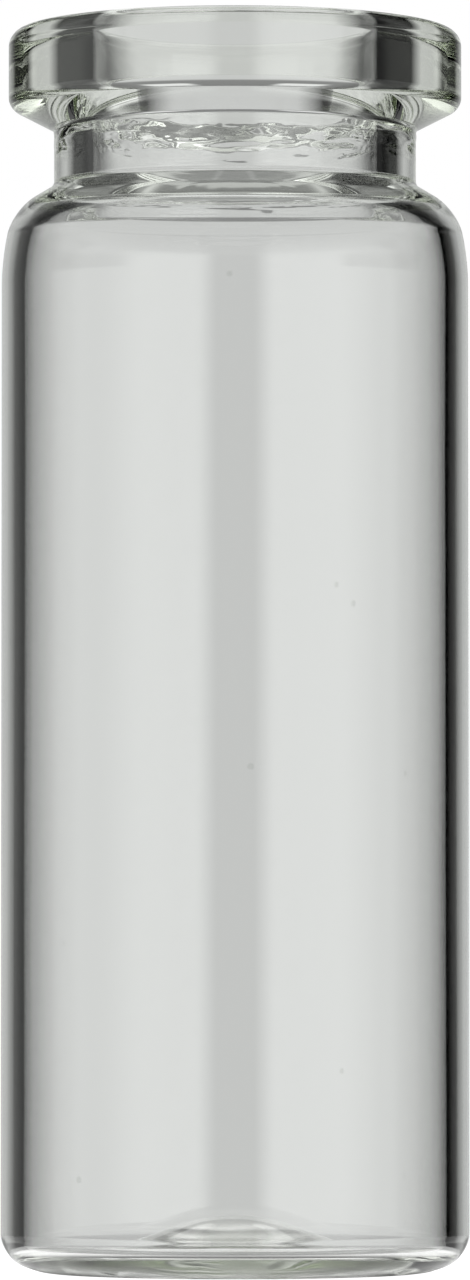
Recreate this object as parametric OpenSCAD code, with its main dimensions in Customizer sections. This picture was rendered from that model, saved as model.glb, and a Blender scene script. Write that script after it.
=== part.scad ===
// Glass sample vial: a crimp-neck headspace vial made from glass tubing.
// It is one piece of clear glass, a solid of revolution about Z. It stands on
// Z = 0, with the origin at the centre of its foot, and its mouth opens to +Z.

/* [Body] */
// Height over all, from the standing ring to the flat of the mouth
overall_h = 54.5; // [35:0.5:90]
// Outer diameter of the body tube
body_d = 20.5; // [19.5:0.1:30]
// Wall of the body tube
wall_t = 1.0; // [0.7:0.05:1.3]

/* [Crimp bead] */
// Outer diameter of the bead that an aluminium cap is crimped round
bead_d = 19.9; // [19.4:0.05:20.3]
// Height of the bead, from the flat of the mouth to its root on the neck
bead_h = 4.4; // [3.6:0.1:6]
// Rounding of the bead's upper outer edge
bead_top_r = 0.75; // [0.2:0.05:1]
// Rounding of the bead's lower outer corner
bead_corner_r = 0.6; // [0.1:0.05:0.8]
// Slope of the bead's underside, rising outwards from the neck, in degrees
bead_under_angle = 27; // [10:1:35]
// Rounding of the mouth's inner edge
mouth_edge_r = 0.6; // [0.2:0.05:0.9]

/* [Neck] */
// Outer diameter of the neck
neck_d = 15.9; // [15.4:0.05:16.6]
// Length of the neck, from the bead's root to the shoulder's corner
neck_l = 2.5; // [1.6:0.1:6]
// Fillet where the neck meets the bead
neck_fillet_r = 0.25; // [0.1:0.05:0.8]
// Fillet where the neck meets the shoulder
neck_foot_r = 0.4; // [0.1:0.05:0.8]
// Diameter of the bore through the bead and the neck
bore_d = 12.5; // [11.5:0.1:13.2]

/* [Shoulder] */
// Fall of the shoulder's outside below the neck, in degrees
shoulder_angle = 31; // [20:1:40]
// Radius of the outside turn from the shoulder towards the body
shoulder_r = 2.4; // [1.5:0.1:3]
// Radius of the soft run-out from that turn to the straight tube
runout_r = 9.8; // [4:0.1:12]
// Angle that the run-out turns through, in degrees
runout_angle = 13; // [4:1:20]
// How much less the shoulder falls inside than outside, in degrees, so that
// the glass thickens towards the neck
shoulder_gain = 5; // [0:0.5:10]
// Rounding of the throat, where the bore opens into the shoulder
throat_r = 0.5; // [0.2:0.1:1.2]

/* [Base] */
// Radius of the heel's turn out of the body wall
heel_r = 1.6; // [1:0.1:2.2]
// Radius of the flatter turn from the heel to the standing ring
foot_r = 3.1; // [2.3:0.1:4]
// Angle that the heel turns through before the flatter turn, in degrees
heel_turn = 64; // [40:1:75]
// Width of the flat standing ring
ring_w = 0.8; // [0.4:0.1:1.5]
// Height of the push-up, the hollow under the base
push_up = 0.9; // [0.3:0.05:1.2]
// Glass at the middle of the base, between the push-up and the domed floor
base_t = 1.6; // [1.1:0.1:2.5]
// Glass over the standing ring, up to the flat outer part of the floor
floor_t = 1.1; // [1:0.1:2]
// Width of the floor's flat outer part, from the wall to the dome's edge
floor_rim_w = 2.75; // [2:0.25:3.5]
// Radius of the inside corner between the floor and the wall
floor_corner_r = 0.5; // [0.2:0.1:2]

/* [Hidden] */
$fn = 180;

// Largest turn between two points of a rounding, in degrees
arc_step = 7.5;
// Points on the floor's dome from its middle to its edge
dome_steps = 12;

body_r = body_d / 2;
inner_r = body_r - wall_t;
bead_r = bead_d / 2;
neck_r = neck_d / 2;
bore_r = bore_d / 2;

// Heights of the neck's two ends, counted down from the mouth
neck_top_z = overall_h - bead_h;
shoulder_z = neck_top_z - neck_l;

// The unit step in the direction of an angle
function dir(angle) = [cos(angle), sin(angle)];
// Points along an arc from one angle to another, both ends included
function arc(centre, r, from, to) =
    let (n = ceil(abs(to - from) / arc_step))
    [for (i = [0 : n]) centre + r * dir(from + (to - from) * i / n)];
// Height at radius r of a slope that passes through a corner and falls
// outwards at an angle, which is negative where it rises
function slope_z(corner, fall, r) = corner[1] - (r - corner[0]) * tan(fall);

// The outside of the base: hollow, standing ring, and a heel in two turns
heel_x = body_r - heel_r;
foot_x = heel_x - (foot_r - heel_r) * cos(heel_turn);
heel_z = foot_r - (foot_r - heel_r) * sin(heel_turn);
hollow_r = foot_x - ring_w;
hollow_curve_r = (hollow_r * hollow_r + push_up * push_up) / (2 * push_up);
function base_outside() = concat(
    arc([0, push_up - hollow_curve_r], hollow_curve_r,
        90, 90 - asin(hollow_r / hollow_curve_r)),
    arc([foot_x, foot_r], foot_r, -90, -heel_turn),
    arc([heel_x, heel_z], heel_r, -heel_turn, 0));

// The outside of the shoulder: run-out, turn, and a slope up to the neck
turn_x = body_r - runout_r + (runout_r - shoulder_r) * cos(runout_angle);
turn_z = slope_z([neck_r, shoulder_z], shoulder_angle,
                 turn_x + shoulder_r * sin(shoulder_angle))
         - shoulder_r * cos(shoulder_angle);
runout_centre = [turn_x, turn_z] - (runout_r - shoulder_r) * dir(runout_angle);
neck_foot_z = slope_z([neck_r, shoulder_z], shoulder_angle,
                      neck_r + neck_foot_r)
              + neck_foot_r / cos(shoulder_angle);
function shoulder_outside() = concat(
    arc(runout_centre, runout_r, 0, runout_angle),
    arc([turn_x, turn_z], shoulder_r, runout_angle, 90 - shoulder_angle),
    arc([neck_r + neck_foot_r, neck_foot_z], neck_foot_r,
        270 - shoulder_angle, 180));

// The bead: neck fillet, sloping underside, outer face and rounded top
fillet_reach = neck_fillet_r * (1 - sin(bead_under_angle));
fillet_z = slope_z([neck_r, neck_top_z], -bead_under_angle,
                   neck_r + fillet_reach)
           - neck_fillet_r * cos(bead_under_angle);
corner_x = bead_r - bead_corner_r;
corner_z = slope_z([neck_r, neck_top_z], -bead_under_angle,
                   corner_x + bead_corner_r * sin(bead_under_angle))
           + bead_corner_r * cos(bead_under_angle);
function bead_outside() = concat(
    arc([neck_r + neck_fillet_r, fillet_z], neck_fillet_r,
        180, 90 + bead_under_angle),
    arc([corner_x, corner_z], bead_corner_r, bead_under_angle - 90, 0),
    arc([bead_r - bead_top_r, overall_h - bead_top_r], bead_top_r, 0, 90));

// The inside of the shoulder: both turns share their centres with the outside
// ones, one wall further in, and the slope between the turn and the throat
// falls less than the outside
inner_angle = shoulder_angle - shoulder_gain;
inner_turn_r = shoulder_r - wall_t;
inner_turn_end = [turn_x, turn_z] + inner_turn_r * dir(90 - inner_angle);
function shoulder_inside() = concat(
    arc([turn_x, turn_z], inner_turn_r, 90 - inner_angle, runout_angle),
    arc(runout_centre, runout_r - wall_t, runout_angle, 0));

// The bore: rounded mouth edge at the top, and the throat at the bottom
throat_z = slope_z(inner_turn_end, inner_angle,
                   bore_r + throat_r * (1 - sin(inner_angle)))
           + throat_r * cos(inner_angle);
function bore_inside() = concat(
    arc([bore_r + mouth_edge_r, overall_h - mouth_edge_r], mouth_edge_r,
        90, 180),
    arc([bore_r + throat_r, throat_z], throat_r, 180, 270 - inner_angle));

// The inside of the base: rounded corner, flat outer floor and domed middle
dome_h = push_up + base_t - floor_t;
dome_r = inner_r - floor_rim_w;
function base_inside() = concat(
    arc([inner_r - floor_corner_r, floor_t + floor_corner_r], floor_corner_r,
        0, -90),
    [for (i = [0 : dome_steps])
        let (out = 1 - i / dome_steps)
        [dome_r * out, floor_t + dome_h * (1 + cos(180 * out)) / 2]]);

// The whole vial: the glass section, revolved
module vial() {
    color("azure", 0.35)
        rotate_extrude()
            polygon(concat(base_outside(), shoulder_outside(), bead_outside(),
                           bore_inside(), shoulder_inside(), base_inside()));
}

vial();
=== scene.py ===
import math

import bmesh
import bpy
from bpy.props import FloatProperty, FloatVectorProperty, IntProperty, PointerProperty
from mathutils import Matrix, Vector, noise


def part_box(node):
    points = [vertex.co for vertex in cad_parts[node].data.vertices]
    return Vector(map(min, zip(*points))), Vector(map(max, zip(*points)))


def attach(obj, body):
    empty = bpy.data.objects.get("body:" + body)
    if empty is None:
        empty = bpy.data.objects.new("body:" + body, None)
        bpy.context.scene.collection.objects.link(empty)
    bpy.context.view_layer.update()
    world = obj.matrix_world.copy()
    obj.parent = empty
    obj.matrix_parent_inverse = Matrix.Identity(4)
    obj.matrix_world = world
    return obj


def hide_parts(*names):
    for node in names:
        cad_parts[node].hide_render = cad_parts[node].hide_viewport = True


bl_info = {
    "name": "Glass sample vial",
    "version": (1, 0, 0),
    "blender": (4, 5, 0),
    "location": "3D View > Sidebar > Sample Vial",
    "description": "Makes a crimp-neck glass sample vial on its packed frame, with its finish and a studio",
    "category": "Object",
}

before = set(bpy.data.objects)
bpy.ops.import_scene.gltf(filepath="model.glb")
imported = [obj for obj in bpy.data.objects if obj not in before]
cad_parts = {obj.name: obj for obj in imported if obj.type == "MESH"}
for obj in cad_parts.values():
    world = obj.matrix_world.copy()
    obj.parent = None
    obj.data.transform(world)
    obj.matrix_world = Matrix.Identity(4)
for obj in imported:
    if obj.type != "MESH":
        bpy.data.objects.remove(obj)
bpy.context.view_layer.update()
VIAL_LOW, VIAL_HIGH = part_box("vial")
MM = 0.001

# How far the forming marks reach below and above the bead's root
MARKS_BELOW = 0.9 * MM
MARKS_ABOVE = 1.1 * MM
# Share of its full reach that a rounding takes where the next one starts right beside it
SHARED_REACH = 0.97
# Rounding where the hollow under the base meets the standing ring
HOLLOW_EDGE = 0.4 * MM

# The studio's light panels round the vial. Each has a bearing where it starts and one where it
# ends, in degrees from straight behind the vial and positive to its right, and its brightness.
# Between two panels the light runs evenly from one to the other. The rig has a sheet behind with a
# dark card on each side of it, boxes at the sides, and a dark card in front.
LIGHT_PANELS = (
    ("dark card behind the camera, left", -180, -170, 0.3),
    ("left box", -160, -80, 1.1),
    ("left dark card", -70, -30, 0.05),
    ("back sheet", -15, 15, 0.6),
    ("right dark card", 30, 70, 0.0),
    ("right strip", 80, 100, 0.8),
    ("right box", 125, 160, 1.8),
    ("dark card behind the camera, right", 170, 180, 0.3),
)

# Brightness of the soft top: its front half, the strip of light there, and its half behind
TOP_FRONT = 0.20
TOP_STRIP = 0.47
TOP_BEHIND = 0.95
# Brightness of the two lamps over the back panels, and of the pale table
LAMPS = 0.85
TABLE = 0.70
# Share of the light that is left in the shade at the sides, and in the gap over the back panels
SIDE_SHADE = 0.45
GAP_SHADE = 0.38

# The lamps' faint cast, as red, green and blue
LIGHT_TINT = (0.990, 1.006, 0.994)

# The floor's painted shade and light round the foot: a brighter painted glow beneath the push-up, a painted
# contact shadow under the standing ring and painted light round the heel. Each ring has the radii where it
# starts and ends, in millimetres, and its brightness, and the light runs evenly between the rings.
PAINTED_FLOOR_SHADE_AND_GLOW = (
    ("glow painted beneath the push-up", 0.0, 6.0, 1.25),
    ("contact shadow", 7.0, 8.5, 0.14),
    ("light thrown by the heel", 9.4, 10.8, 1.15),
    ("open floor", 12.0, 20.0, 0.45),
)


class VialSizes(bpy.types.PropertyGroup):
    """Sizes of the blown glass."""

    height: FloatProperty(
        name="Height", description="From the standing ring to the flat of the mouth",
        default=VIAL_HIGH[2] - VIAL_LOW[2], unit="LENGTH", subtype="DISTANCE")
    body_diameter: FloatProperty(
        name="Body diameter", description="Outside of the body tube",
        default=2 * min(VIAL_HIGH[0], -VIAL_LOW[0]), unit="LENGTH", subtype="DISTANCE")
    wall: FloatProperty(
        name="Wall", description="Wall of the body tube",
        default=1.0 * MM, unit="LENGTH", subtype="DISTANCE")
    bead_diameter: FloatProperty(
        name="Bead diameter", description="Outside of the bead that a cap is crimped round",
        default=19.9 * MM, unit="LENGTH", subtype="DISTANCE")
    bead_height: FloatProperty(
        name="Bead height", description="From the flat of the mouth to the bead's root on the neck",
        default=4.4 * MM, unit="LENGTH", subtype="DISTANCE")
    bead_top_rounding: FloatProperty(
        name="Bead top rounding", description="Rounding of the bead's upper outer edge",
        default=0.75 * MM, unit="LENGTH", subtype="DISTANCE")
    bead_corner_rounding: FloatProperty(
        name="Bead corner rounding", description="Rounding of the bead's lower outer corner",
        default=0.6 * MM, unit="LENGTH", subtype="DISTANCE")
    underside_rise: FloatProperty(
        name="Underside rise", description="Slope of the bead's underside, rising outwards",
        default=math.radians(27), unit="ROTATION", subtype="ANGLE")
    mouth_rounding: FloatProperty(
        name="Mouth rounding", description="Rounding of the mouth's inner edge",
        default=0.6 * MM, unit="LENGTH", subtype="DISTANCE")
    neck_diameter: FloatProperty(
        name="Neck diameter", description="Outside of the neck",
        default=15.9 * MM, unit="LENGTH", subtype="DISTANCE")
    neck_length: FloatProperty(
        name="Neck length", description="From the bead's root to the shoulder's corner",
        default=2.5 * MM, unit="LENGTH", subtype="DISTANCE")
    neck_fillet: FloatProperty(
        name="Neck fillet", description="Fillet where the neck meets the bead",
        default=0.25 * MM, unit="LENGTH", subtype="DISTANCE")
    neck_foot: FloatProperty(
        name="Neck foot", description="Fillet where the neck meets the shoulder",
        default=0.4 * MM, unit="LENGTH", subtype="DISTANCE")
    bore_diameter: FloatProperty(
        name="Bore diameter", description="Bore through the bead and the neck",
        default=12.5 * MM, unit="LENGTH", subtype="DISTANCE")
    shoulder_fall: FloatProperty(
        name="Shoulder fall", description="Fall of the shoulder's outside below the neck",
        default=math.radians(31), unit="ROTATION", subtype="ANGLE")
    shoulder_turn: FloatProperty(
        name="Shoulder turn", description="Radius of the outside turn towards the body",
        default=2.4 * MM, unit="LENGTH", subtype="DISTANCE")
    runout_radius: FloatProperty(
        name="Run-out radius", description="Radius of the soft run-out into the straight tube",
        default=9.8 * MM, unit="LENGTH", subtype="DISTANCE")
    runout_angle: FloatProperty(
        name="Run-out angle", description="Angle that the run-out turns through",
        default=math.radians(13), unit="ROTATION", subtype="ANGLE")
    shoulder_gain: FloatProperty(
        name="Shoulder gain", description="How much less the shoulder falls inside than outside",
        default=math.radians(5), unit="ROTATION", subtype="ANGLE")
    throat_rounding: FloatProperty(
        name="Throat rounding", description="Rounding where the bore opens into the shoulder",
        default=0.5 * MM, unit="LENGTH", subtype="DISTANCE")
    heel_radius: FloatProperty(
        name="Heel radius", description="Radius of the heel's turn out of the body wall",
        default=1.6 * MM, unit="LENGTH", subtype="DISTANCE")
    foot_radius: FloatProperty(
        name="Foot radius", description="Radius of the flatter turn to the standing ring",
        default=3.1 * MM, unit="LENGTH", subtype="DISTANCE")
    heel_angle: FloatProperty(
        name="Heel angle", description="Angle that the heel turns through before the flatter turn",
        default=math.radians(64), unit="ROTATION", subtype="ANGLE")
    ring_width: FloatProperty(
        name="Ring width", description="Width of the flat standing ring",
        default=0.8 * MM, unit="LENGTH", subtype="DISTANCE")
    push_up: FloatProperty(
        name="Push-up", description="Height of the hollow under the base",
        default=0.9 * MM, unit="LENGTH", subtype="DISTANCE")
    base_glass: FloatProperty(
        name="Base glass", description="Glass at the middle of the base",
        default=1.6 * MM, unit="LENGTH", subtype="DISTANCE")
    floor_glass: FloatProperty(
        name="Floor glass", description="Glass over the standing ring, up to the flat floor",
        default=1.1 * MM, unit="LENGTH", subtype="DISTANCE")
    floor_rim: FloatProperty(
        name="Floor rim", description="Width of the floor's flat outer part",
        default=2.75 * MM, unit="LENGTH", subtype="DISTANCE")
    floor_corner: FloatProperty(
        name="Floor corner", description="Inside corner between the floor and the wall",
        default=0.5 * MM, unit="LENGTH", subtype="DISTANCE")
    steps_round: IntProperty(
        name="Steps round", description="Facets round the vial", default=248, min=32)


class GlassFinish(bpy.types.PropertyGroup):
    """How the glass looks, and the small marks that forming left in it."""

    tint: FloatVectorProperty(
        name="Tint", description="Colour of the light that thick glass lets through",
        default=(0.80, 0.92, 0.60), subtype="COLOR", min=0.0, max=1.0)
    tint_density: FloatProperty(
        name="Tint density", description="How fast the tint builds up, per metre of glass",
        default=15.0, min=0.0)
    index: FloatProperty(
        name="Refractive index", description="Refractive index of borosilicate tubing glass",
        default=1.49, min=1.0, max=2.0)
    bore_marks: FloatProperty(
        name="Bore marks", description="Depth of the wrinkles that the mandrel left in the bore",
        default=0.090 * MM, unit="LENGTH", subtype="DISTANCE")
    root_marks: FloatProperty(
        name="Root marks", description="Depth of the folds outside the neck, under the bead's root",
        default=0.120 * MM, unit="LENGTH", subtype="DISTANCE")
    lap_step: FloatProperty(
        name="Lap step", description="Height of the lapped edge where the wrinkles end",
        default=0.080 * MM, unit="LENGTH", subtype="DISTANCE")
    tube_wave: FloatProperty(
        name="Tube wave", description="Height of the long waves in the drawn tube",
        default=0.006 * MM, unit="LENGTH", subtype="DISTANCE")
    base_wave: FloatProperty(
        name="Base wave", description="Height of the swirls in the pressed base",
        default=0.045 * MM, unit="LENGTH", subtype="DISTANCE")
    dull_hollow: FloatProperty(
        name="Dull hollow", description="Roughness of the hollow under the base",
        default=0.22, min=0.0, max=1.0)
    draw_lines: FloatProperty(
        name="Draw lines", description="Depth of the fine lines along the drawn tube",
        default=0.0006 * MM, unit="LENGTH", subtype="DISTANCE")


class Studio(bpy.types.PropertyGroup):
    """The floor, the lights and the camera."""

    # The floor's colour is darkened in a painted contact shadow by the rings round the foot
    floor_colour: FloatVectorProperty(
        name="Floor colour", description="Colour of the plain pale floor",
        default=(0.86, 0.86, 0.86), subtype="COLOR", min=0.0, max=1.0)
    floor_radius: FloatProperty(
        name="Floor radius", description="Radius of the round floor",
        default=45 * MM, unit="LENGTH", subtype="DISTANCE")
    # The floor's glow is painted light: it shines in the same painted rings of light and shade round the
    # foot
    floor_glow: FloatProperty(
        name="Floor glow", description="How much the floor is lit from within",
        default=0.70, min=0.0)
    camera_distance: FloatProperty(
        name="Camera distance", description="From the vial's axis to the camera",
        default=346.7 * MM, unit="LENGTH", subtype="DISTANCE")
    camera_height: FloatProperty(
        name="Camera height", description="Height of the camera over the floor",
        default=13.1 * MM, unit="LENGTH", subtype="DISTANCE")
    camera_tilt: FloatProperty(
        name="Camera tilt", description="How far the camera looks up",
        default=math.radians(2.406), unit="ROTATION", subtype="ANGLE")
    lens: FloatProperty(
        name="Lens", description="Focal length of the camera",
        default=222.5, unit="CAMERA")


def direction(angle):
    """The unit step along an angle, as a radius and a height."""
    return Vector((math.cos(angle), math.sin(angle)))


def section_corners(s):
    """The corners of half the vial's section and the rounding of each, in metres.

    They run from the axis under the base, out and up the outside, over the mouth and down the
    inside to the axis on the floor. Each is a radius, a height and a rounding.
    """
    body_r = s.body_diameter / 2
    inner_r = body_r - s.wall
    bead_r = s.bead_diameter / 2
    neck_r = s.neck_diameter / 2
    bore_r = s.bore_diameter / 2
    mouth_z = s.height
    neck_top_z = mouth_z - s.bead_height
    shoulder_z = neck_top_z - s.neck_length
    square = math.pi / 2

    # Base, from below: hollow, standing ring, and a heel in two turns
    heel_x = body_r - s.heel_radius
    foot_x = heel_x - (s.foot_radius - s.heel_radius) * math.cos(s.heel_angle)
    heel_z = s.foot_radius - (s.foot_radius - s.heel_radius) * math.sin(s.heel_angle)
    hollow_r = foot_x - s.ring_width
    hollow_curve = (hollow_r ** 2 + s.push_up ** 2) / (2 * s.push_up)
    hollow_corner = hollow_curve * math.tan(math.asin(hollow_r / hollow_curve) / 2)
    corners = [
        (0, s.push_up, 0),
        (hollow_corner, s.push_up, SHARED_REACH * hollow_curve),
        (hollow_r, 0, HOLLOW_EDGE),
        (foot_x + s.foot_radius * math.tan((square - s.heel_angle) / 2), 0, s.foot_radius),
        (body_r, heel_z - s.heel_radius * math.tan(s.heel_angle / 2), s.heel_radius),
    ]

    # Outside of the shoulder: run-out, turn, and a slope up to the neck
    turn_x = body_r - s.runout_radius
    turn_x += (s.runout_radius - s.shoulder_turn) * math.cos(s.runout_angle)
    touch_x = turn_x + s.shoulder_turn * math.sin(s.shoulder_fall)
    turn_z = shoulder_z - (touch_x - neck_r) * math.tan(s.shoulder_fall)
    turn_z -= s.shoulder_turn * math.cos(s.shoulder_fall)
    turn = Vector((turn_x, turn_z))
    runout = turn - (s.runout_radius - s.shoulder_turn) * direction(s.runout_angle)
    half_turn = (square - s.shoulder_fall - s.runout_angle) / 2
    corner = turn + s.shoulder_turn / math.cos(half_turn) * direction(s.runout_angle + half_turn)
    corners += [
        (body_r, runout.y + s.runout_radius * math.tan(s.runout_angle / 2), s.runout_radius),
        (corner.x, corner.y, s.shoulder_turn),
        (neck_r, shoulder_z, s.neck_foot),
    ]

    # Bead: the marked run under its root, sloping underside, outer face and mouth
    corners += [
        (neck_r, neck_top_z - MARKS_BELOW, 0),
        (neck_r, neck_top_z, s.neck_fillet),
        (bead_r, neck_top_z + (bead_r - neck_r) * math.tan(s.underside_rise),
         s.bead_corner_rounding),
        (bead_r, mouth_z, s.bead_top_rounding),
        (bore_r, mouth_z, s.mouth_rounding),
    ]

    # Inside of the shoulder, one wall in from the outside and thicker towards the throat
    inner_fall = s.shoulder_fall - s.shoulder_gain
    inner_turn = s.shoulder_turn - s.wall
    turn_end = turn + inner_turn * direction(square - inner_fall)
    half_turn = (square - inner_fall - s.runout_angle) / 2
    corner = turn + inner_turn / math.cos(half_turn) * direction(s.runout_angle + half_turn)
    inner_runout = s.runout_radius - s.wall
    corners += [
        (bore_r, neck_top_z + MARKS_ABOVE, 0),
        (bore_r, neck_top_z - MARKS_BELOW, 0),
        (bore_r, turn_end.y + (turn_end.x - bore_r) * math.tan(inner_fall), s.throat_rounding),
        (corner.x, corner.y, inner_turn),
        (inner_r, runout.y + inner_runout * math.tan(s.runout_angle / 2), inner_runout),
    ]

    # Floor: rounded corner, flat outer part and a soft dome in the middle
    dome_r = inner_r - s.floor_rim
    dome_top = s.push_up + s.base_glass
    dome_slope = math.atan(math.pi / 2 * (dome_top - s.floor_glass) / dome_r)
    dome_reach = dome_r * (0.5 - 1 / math.pi)
    dome_rounding = SHARED_REACH * dome_reach / math.tan(dome_slope / 2)
    corners += [
        (inner_r, s.floor_glass, s.floor_corner),
        (dome_r - dome_reach, s.floor_glass, dome_rounding),
        (dome_reach, dome_top, dome_rounding),
        (0, dome_top, 0),
    ]
    return corners


def round_corners(section, verts, roundings, finest):
    """Rounds the corners of a wire section, each with its own radius, in steps of finest(vert)."""
    jobs = []
    for before, vert, after, rounding in zip(verts, verts[1:], verts[2:], roundings[1:]):
        if rounding > 0:
            turn = (vert.co - before.co).angle(after.co - vert.co)
            jobs.append((vert, turn, rounding, finest(vert.co)))
    for vert, turn, rounding, step in jobs:
        bmesh.ops.bevel(
            section, geom=[vert], offset=rounding * math.tan(turn / 2), offset_type="OFFSET",
            segments=max(4, math.ceil(turn / step), math.ceil(rounding * turn / (0.45 * MM))),
            profile=0.5, affect="VERTICES", clamp_overlap=True, material=-1)


def cut_long_edges(section, longest):
    """Cuts the straight runs of a wire section into even steps. longest(middle) is in metres."""
    for edge in list(section.edges):
        middle = (edge.verts[0].co + edge.verts[1].co) / 2
        cuts = math.ceil(edge.calc_length() / longest(middle)) - 1
        if cuts > 0:
            bmesh.ops.subdivide_edges(section, edges=[edge], cuts=cuts)


def window(value, low, high, soft):
    """1 between low and high, falling smoothly to 0 over soft on either side."""
    inside = min(value - low, high - value) / soft + 1
    inside = max(0.0, min(1.0, inside))
    return inside * inside * (3 - 2 * inside)


def swirl(out, height, long, tall, seed):
    """Smooth noise round the vial. long is its reach round, in turns of a radian, tall in metres."""
    return noise.noise(Vector((out.x / long, out.y / long, height / tall + seed)))


def folds(out, height, seed):
    """Flat folds that run round the glass, each a millimetre or two long and far less tall."""
    bent = height + 0.30 * MM * swirl(out, height, 0.50, 2 * MM, seed)
    depth = swirl(out, bent, 0.30, 0.40 * MM, seed + 1)
    return depth + 0.5 * swirl(out, bent, 0.12, 0.18 * MM, seed + 2)


def ragged(out, seed):
    """A ragged edge round the vial, in metres above and below its height."""
    return 0.16 * MM * swirl(out, 0, 0.30, 1, seed) + 0.07 * MM * swirl(out, 0, 0.05, 1, seed + 1)


def bore_wrinkle(out, height, root_z, behind, finish):
    """How far the mandrel's wrinkles push the bore out. They lie round the bead's root, behind."""
    top = root_z + 0.85 * MM + ragged(out, 4)
    bottom = root_z - 0.65 * MM + ragged(out, 7)
    below_root = window(height, 0, root_z, 0.3 * MM)
    depth = finish.lap_step
    depth += finish.bore_marks * (1.2 + 1.4 * below_root) * folds(out, height, 1)
    return depth * (0.04 + 0.96 * behind) * window(height, bottom, top, 0.04 * MM)


def root_fold(out, height, root_z, behind, finish):
    """How far the folds under the bead's root push the neck's outside out."""
    bottom = root_z - 0.7 * MM + ragged(out, 14)
    depth = finish.root_marks * (0.4 + folds(out, height, 11))
    return depth * behind * window(height, bottom, root_z, 0.12 * MM)


def base_swirl(co, radius, inner_r, finish):
    """How far the swirls lift the floor inside the vial, or the hollow under its base."""
    inside = co.z > 1.0 * MM
    layer = 1.0 if inside else 9.0
    edge = inner_r - (1.8 if inside else 4.0) * MM
    waves = noise.noise(Vector((co.x * 260, co.y * 260, layer)))
    waves += 0.4 * noise.noise(Vector((co.x * 700, co.y * 700, layer + 2)))
    return finish.base_wave * waves * window(radius, -1, edge, 1.2 * MM)


def tube_swell(out, height, radius, finish):
    """How far the long waves of the drawn tube push its walls out. They are always inwards."""
    wave = swirl(out, height, 0.7, 11 * MM, radius * 4000) - 0.6
    return finish.tube_wave * wave * window(height, 6 * MM, 39 * MM, 3 * MM)


def form_marks(mesh, s, finish):
    """Moves the glass a little, as forming did: neck wrinkles, tube waves and base swirls."""
    bore_r = s.bore_diameter / 2
    neck_r = s.neck_diameter / 2
    inner_r = s.body_diameter / 2 - s.wall
    root_z = s.height - s.bead_height
    for vert in mesh.verts:
        radius = math.hypot(vert.co.x, vert.co.y)
        if radius < 0.001 * MM:
            continue
        height = vert.co.z
        out = Vector((vert.co.x / radius, vert.co.y / radius, 0))
        behind = window(out.y, 0.4, 2, 0.6)
        over_root = height - root_z
        on_bore = abs(radius - bore_r) < 0.02 * MM and -MARKS_BELOW < over_root < MARKS_ABOVE
        on_neck = abs(radius - neck_r) < 0.2 * MM and -MARKS_BELOW < over_root < 0.2 * MM
        in_base = height < 2.6 * MM and radius < inner_r - 0.6 * MM
        in_tube = 3 * MM < height < 42 * MM
        if on_bore:
            vert.co += out * bore_wrinkle(out, height, root_z, behind, finish)
        elif on_neck:
            vert.co += out * root_fold(out, height, root_z, behind, finish)
        elif in_base:
            vert.co.z += base_swirl(vert.co, radius, inner_r, finish)
        elif in_tube:
            vert.co += out * tube_swell(out, height, radius, finish)


class Bench:
    """Adds nodes to a tree and links them up, so that a recipe reads like a formula."""

    def __init__(self, tree):
        self.nodes = tree.nodes
        self.links = tree.links

    def feed(self, socket, value):
        """Links a socket to another, or sets it to a number, a grey or a colour."""
        if isinstance(value, bpy.types.NodeSocket):
            self.links.new(value, socket)
        elif socket.type == "RGBA":
            socket.default_value = (value, value, value, 1) if isinstance(value, float) else value
        else:
            socket.default_value = value

    def math(self, operation, first, second=0.0):
        """A sum on one or two numbers."""
        node = self.nodes.new("ShaderNodeMath")
        node.operation = operation
        self.feed(node.inputs[0], first)
        self.feed(node.inputs[1], second)
        return node.outputs["Value"]

    def graded(self, value, start, end, low=0.0, high=1.0, smooth=True):
        """Goes from low to high while value goes from start to end."""
        node = self.nodes.new("ShaderNodeMapRange")
        node.interpolation_type = "SMOOTHSTEP" if smooth else "LINEAR"
        node.inputs["From Min"].default_value = start
        node.inputs["From Max"].default_value = end
        node.inputs["To Min"].default_value = low
        node.inputs["To Max"].default_value = high
        self.feed(node.inputs["Value"], value)
        return node.outputs["Result"]

    def between(self, value, rise, fall):
        """1 where value has passed the rise and not yet reached the fall, with soft sides."""
        return self.math("SUBTRACT", self.graded(value, *rise), self.graded(value, *fall))

    def blend(self, factor, first, second):
        """A mix of two colours, from the first at factor 0 to the second at 1."""
        node = self.nodes.new("ShaderNodeMix")
        node.data_type = "RGBA"
        self.feed(node.inputs["Factor"], factor)
        self.feed(node.inputs[6], first)
        self.feed(node.inputs[7], second)
        return node.outputs[2]

    def vector(self, operation, first, second=None):
        """A sum on a vector, with a second one or a number where it takes one."""
        node = self.nodes.new("ShaderNodeVectorMath")
        node.operation = operation
        self.feed(node.inputs[0], first)
        if second is not None:
            self.feed(node.inputs["Scale" if operation == "SCALE" else 1], second)
        return node.outputs["Value" if operation == "LENGTH" else "Vector"]

    def ramp(self, value, runs, low, high):
        """A grey for a value from low to high, by runs of name, start, end and level."""
        node = self.nodes.new("ShaderNodeValToRGB")
        elements = node.color_ramp.elements
        elements.remove(elements[-1])
        elements[0].position = 0
        elements[0].color = (runs[0][3], runs[0][3], runs[0][3], 1)
        for _, start, end, level in runs:
            for place in (start, end):
                if place > low:
                    stop = elements.new((place - low) / (high - low))
                    stop.color = (level, level, level, 1)
        self.feed(node.inputs["Fac"], self.graded(value, low, high, smooth=False))
        return node.outputs["Color"]


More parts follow.
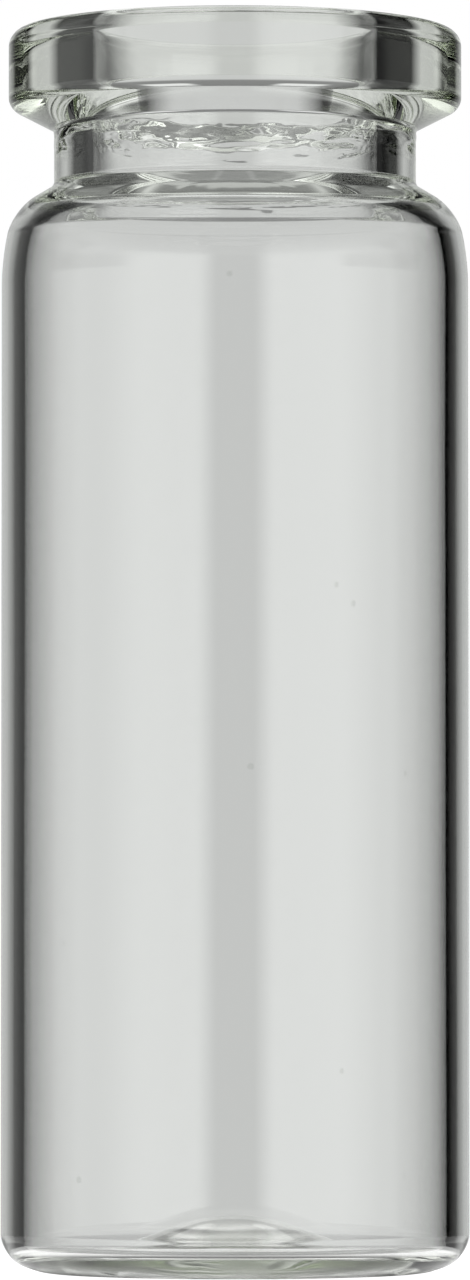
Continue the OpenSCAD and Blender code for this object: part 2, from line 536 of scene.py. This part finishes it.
def glass_material(s, finish):
    """Clear tubing glass: faintly green where it is thick, with fine draw lines and dust specks."""
    material = bpy.data.materials.new("clear_tubing_glass")
    material.use_nodes = True
    nodes = material.node_tree.nodes
    bench = Bench(material.node_tree)
    shader = nodes["Principled BSDF"]
    shader.inputs["Transmission Weight"].default_value = 1.0
    shader.inputs["IOR"].default_value = finish.index

    # The hollow under the base touched the mould, and is a little dull
    place = nodes.new("ShaderNodeTexCoord")
    split = nodes.new("ShaderNodeSeparateXYZ")
    bench.feed(split.inputs["Vector"], place.outputs["Object"])
    x, y, z = split.outputs
    across = nodes.new("ShaderNodeCombineXYZ")
    bench.feed(across.inputs["X"], x)
    bench.feed(across.inputs["Y"], y)
    reach = bench.vector("LENGTH", across.outputs["Vector"])
    foot_reach = s.body_diameter / 2 - s.foot_radius
    under = bench.math("MULTIPLY", bench.graded(z, 0.97 * MM, 1.0 * MM, 1, 0),
                       bench.graded(reach, foot_reach, foot_reach + 0.8 * MM, 1, 0))
    patches = nodes.new("ShaderNodeTexNoise")
    patches.inputs["Scale"].default_value = 320.0
    patches.inputs["Detail"].default_value = 1.0
    bench.feed(patches.inputs["Vector"], place.outputs["Object"])
    dull = bench.graded(patches.outputs["Fac"], 0.40, 0.56, 0.15 * finish.dull_hollow,
                        finish.dull_hollow)
    bench.feed(shader.inputs["Roughness"], bench.math("MULTIPLY", under, dull))

    # The drawn tube keeps its draw lines. The formed shoulder, neck and bead have none.
    shoulder_z = s.height - s.bead_height - s.neck_length
    drawn = bench.graded(z, shoulder_z - 6 * MM, shoulder_z - 3 * MM, 1, 0)
    lines = nodes.new("ShaderNodeTexNoise")
    lines.inputs["Scale"].default_value = 1.0
    lines.inputs["Detail"].default_value = 3.0
    stretched = bench.vector("MULTIPLY", place.outputs["Object"], (2600, 2600, 60))
    bench.feed(lines.inputs["Vector"], stretched)
    bump = nodes.new("ShaderNodeBump")
    bump.inputs["Distance"].default_value = finish.draw_lines
    bench.feed(bump.inputs["Strength"], drawn)
    bench.feed(bump.inputs["Height"], lines.outputs["Fac"])
    bench.feed(shader.inputs["Normal"], bump.outputs["Normal"])

    # A few dust specks, each at the heart of a cell
    specks = nodes.new("ShaderNodeTexVoronoi")
    specks.inputs["Scale"].default_value = 210.0
    bench.feed(specks.inputs["Vector"], place.outputs["Object"])
    clean = bench.graded(specks.outputs["Distance"], 0.020, 0.042)
    bench.feed(shader.inputs["Base Color"], bench.blend(clean, (0.80, 0.81, 0.79, 1), 1.0))

    # The glass itself takes a little light, so it is green where it is thick
    inside = nodes.new("ShaderNodeVolumeAbsorption")
    inside.inputs["Color"].default_value = (*finish.tint, 1)
    inside.inputs["Density"].default_value = finish.tint_density
    bench.feed(nodes["Material Output"].inputs["Volume"], inside.outputs["Volume"])
    return material


class SAMPLEVIAL_OT_make_glass(bpy.types.Operator):
    """Blow the vial: round the corners of its section, spin it, and leave the forming marks"""

    bl_idname = "sample_vial.make_glass"
    bl_label = "Make the glass"

    def execute(self, context):
        s = context.scene.vial_sizes
        finish = context.scene.vial_finish
        corners = section_corners(s)
        neck_top_z = s.height - s.bead_height

        glass = bmesh.new()
        verts = [glass.verts.new((r, 0, z)) for r, z, _ in corners]
        for first, second in zip(verts, verts[1:]):
            glass.edges.new((first, second))

        def finest(corner):
            """The turn of one step: finer on the neck and bead than on the base."""
            return math.radians(3 if corner.z > s.height / 2 else 5)

        def longest(middle):
            """The length of one step: fine where the glass carries forming marks."""
            over_root = middle.z - neck_top_z
            inside_bead = middle.x < s.bead_diameter / 2.4
            if middle.z < 3 * MM:
                return 0.3 * MM
            if inside_bead and -MARKS_BELOW < over_root < MARKS_ABOVE:
                return 0.085 * MM
            return 3.2 * MM

        round_corners(glass, verts, [rounding for _, _, rounding in corners], finest)
        cut_long_edges(glass, longest)
        bmesh.ops.spin(
            glass, geom=glass.verts[:] + glass.edges[:], cent=(0, 0, 0), axis=(0, 0, 1),
            dvec=(0, 0, 0), angle=2 * math.pi, steps=s.steps_round, use_merge=True,
            use_normal_flip=False, use_duplicate=False)
        bmesh.ops.remove_doubles(glass, verts=glass.verts[:], dist=1e-6)
        form_marks(glass, s, finish)
        bmesh.ops.recalc_face_normals(glass, faces=glass.faces[:])
        for face in glass.faces:
            face.smooth = True

        mesh = bpy.data.meshes.new("vial_glass")
        glass.to_mesh(mesh)
        glass.free()
        piece = bpy.data.objects.new("vial_glass", mesh)
        context.scene.collection.objects.link(piece)
        mesh.materials.append(glass_material(s, finish))
        flats = piece.modifiers.new("true_flats", "WEIGHTED_NORMAL")
        flats.mode = "FACE_AREA"
        flats.weight = 50
        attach(piece, "root")
        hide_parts("vial")
        return {"FINISHED"}


def light_room(scene):
    """Lights the room with the panels, a soft top and the pale table, all round the vial."""
    world = bpy.data.worlds.new("studio_room")
    scene.world = world
    world.use_nodes = True
    nodes = world.node_tree.nodes
    bench = Bench(world.node_tree)
    place = nodes.new("ShaderNodeTexCoord")
    split = nodes.new("ShaderNodeSeparateXYZ")
    bench.feed(split.inputs["Vector"], place.outputs["Object"])
    x, y, z = split.outputs

    def sines(low, high):
        """How high a ray climbs at two elevations, which are in degrees."""
        return math.sin(math.radians(low)), math.sin(math.radians(high))

    bearing = bench.math("MULTIPLY", bench.math("ARCTAN2", x, y), math.degrees(1))
    aside = bench.math("ABSOLUTE", bearing)
    behind = bench.graded(y, -0.10, 0.55)
    panels = bench.ramp(bearing, LIGHT_PANELS, -180, 180)

    # Shade that keeps the side panels out of the bead and the neck
    beside = bench.between(aside, (72, 79), (121, 126))
    shade = bench.math("MULTIPLY", beside, bench.between(z, sines(5.2, 6.2), sines(10, 14)))
    panels = bench.vector("SCALE", panels, bench.graded(shade, 0, 1, 1, SIDE_SHADE, smooth=False))

    # Soft top over the panels, with a strip of light in its front half
    strip = bench.between(z, sines(51, 54), sines(58, 61))
    top = bench.blend(behind, bench.blend(strip, TOP_FRONT, TOP_STRIP), TOP_BEHIND)
    panel_end = nodes.new("ShaderNodeMix")
    panel_end.data_type = "FLOAT"
    bench.feed(panel_end.inputs["Factor"], behind)
    bench.feed(panel_end.inputs[2], bench.graded(z, *sines(8, 26)))
    bench.feed(panel_end.inputs[3], bench.graded(z, *sines(48, 58)))
    room = bench.blend(panel_end.outputs[0], panels, top)

    # Dim gap over the back panels, with two lamps in it
    gap = bench.math("MULTIPLY", behind, bench.between(z, sines(18, 22), sines(38, 42)))
    room = bench.vector("SCALE", room, bench.graded(gap, 0, 1, 1, GAP_SHADE, smooth=False))
    lamps = bench.math("MULTIPLY", bench.between(aside, (4, 6), (12, 15)),
                       bench.between(z, sines(26, 29), sines(34, 37)))
    room = bench.blend(lamps, room, LAMPS)
    room = bench.blend(bench.graded(z, *sines(-45, -30)), TABLE, room)

    light = nodes["Background"]
    bench.feed(light.inputs["Color"], bench.vector("MULTIPLY", room, LIGHT_TINT))
    backdrop = nodes.new("ShaderNodeBackground")
    bench.feed(backdrop.inputs["Color"], 1.0)
    seen = nodes.new("ShaderNodeLightPath")
    choose = nodes.new("ShaderNodeMixShader")
    bench.feed(choose.inputs[0], seen.outputs["Is Camera Ray"])
    bench.feed(choose.inputs[1], light.outputs[0])
    bench.feed(choose.inputs[2], backdrop.outputs[0])
    bench.feed(nodes["World Output"].inputs["Surface"], choose.outputs[0])


def floor_material(studio):
    """Pale floor that glows, with a painted contact shadow under the foot and painted light round it, whose
    rim fades into the backdrop.
    """
    material = bpy.data.materials.new("pale_floor")
    material.use_nodes = True
    nodes = material.node_tree.nodes
    bench = Bench(material.node_tree)
    shader = nodes["Principled BSDF"]
    shader.inputs["Roughness"].default_value = 0.6
    shader.inputs["Specular IOR Level"].default_value = 0.0
    shader.inputs["Emission Color"].default_value = (1, 1, 1, 1)
    place = nodes.new("ShaderNodeTexCoord")
    reach = bench.vector("LENGTH", place.outputs["Object"])
    rim = studio.floor_radius
    bench.feed(shader.inputs["Alpha"], bench.graded(reach, 0.35 * rim, 0.98 * rim, 1, 0))
    # Painted shade and light: the rings darken the floor's colour and glow in a contact shadow under the
    # foot, and brighten them round the heel and beneath the push-up
    level = bench.ramp(bench.math("DIVIDE", reach, MM), PAINTED_FLOOR_SHADE_AND_GLOW, 0, 20)
    bench.feed(shader.inputs["Base Color"], bench.blend(level, 0.0, (*studio.floor_colour, 1)))
    seen = nodes.new("ShaderNodeLightPath")
    # The glow is painted light in the same rings; to the camera the floor is lifted to white all over
    glow = bench.math("MULTIPLY", level, studio.floor_glow)
    glow = bench.math("ADD", glow, seen.outputs["Is Camera Ray"])
    bench.feed(shader.inputs["Emission Strength"], glow)
    return material


class SAMPLEVIAL_OT_set_stage(bpy.types.Operator):
    """Lay the pale floor, light the room and set up the camera"""

    bl_idname = "sample_vial.set_stage"
    bl_label = "Set the stage"

    def execute(self, context):
        scene = context.scene
        studio = scene.vial_studio

        disc = bmesh.new()
        bmesh.ops.create_circle(disc, cap_ends=True, radius=studio.floor_radius, segments=96)
        bmesh.ops.translate(disc, verts=disc.verts[:], vec=(0, 0, -0.02 * MM))
        mesh = bpy.data.meshes.new("floor")
        disc.to_mesh(mesh)
        disc.free()
        floor = bpy.data.objects.new("floor", mesh)
        scene.collection.objects.link(floor)
        mesh.materials.append(floor_material(studio))

        light_room(scene)
        scene.view_settings.view_transform = "Standard"
        scene.cycles.max_bounces = 24
        scene.cycles.transmission_bounces = 24
        scene.cycles.glossy_bounces = 24

        camera_data = bpy.data.cameras.new("camera")
        camera_data.lens = studio.lens
        camera_data.sensor_width = 36
        camera_data.clip_start = 0.01
        camera = bpy.data.objects.new("camera", camera_data)
        scene.collection.objects.link(camera)
        camera.location = (0, -studio.camera_distance, studio.camera_height)
        camera.rotation_euler = (math.pi / 2 + studio.camera_tilt, 0, 0)
        scene.camera = camera
        return {"FINISHED"}


class SAMPLEVIAL_PT_sidebar(bpy.types.Panel):
    """Steps and settings of the sample vial."""

    bl_label = "Sample Vial"
    bl_space_type = "VIEW_3D"
    bl_region_type = "UI"
    bl_category = "Sample Vial"

    def draw(self, context):
        scene = context.scene
        for step, settings in (
            (SAMPLEVIAL_OT_make_glass, (scene.vial_sizes, scene.vial_finish)),
            (SAMPLEVIAL_OT_set_stage, (scene.vial_studio,)),
        ):
            box = self.layout.box()
            box.operator(step.bl_idname)
            for group in settings:
                for name in group.__annotations__:
                    box.prop(group, name)


CLASSES = (
    VialSizes,
    GlassFinish,
    Studio,
    SAMPLEVIAL_OT_make_glass,
    SAMPLEVIAL_OT_set_stage,
    SAMPLEVIAL_PT_sidebar,
)


def register():
    for cls in CLASSES:
        bpy.utils.register_class(cls)
    bpy.types.Scene.vial_sizes = PointerProperty(type=VialSizes)
    bpy.types.Scene.vial_finish = PointerProperty(type=GlassFinish)
    bpy.types.Scene.vial_studio = PointerProperty(type=Studio)


def unregister():
    del bpy.types.Scene.vial_studio
    del bpy.types.Scene.vial_finish
    del bpy.types.Scene.vial_sizes
    for cls in reversed(CLASSES):
        bpy.utils.unregister_class(cls)


def main():
    register()
    bpy.ops.sample_vial.make_glass()
    bpy.ops.sample_vial.set_stage()


if __name__ == "__main__":
    main()
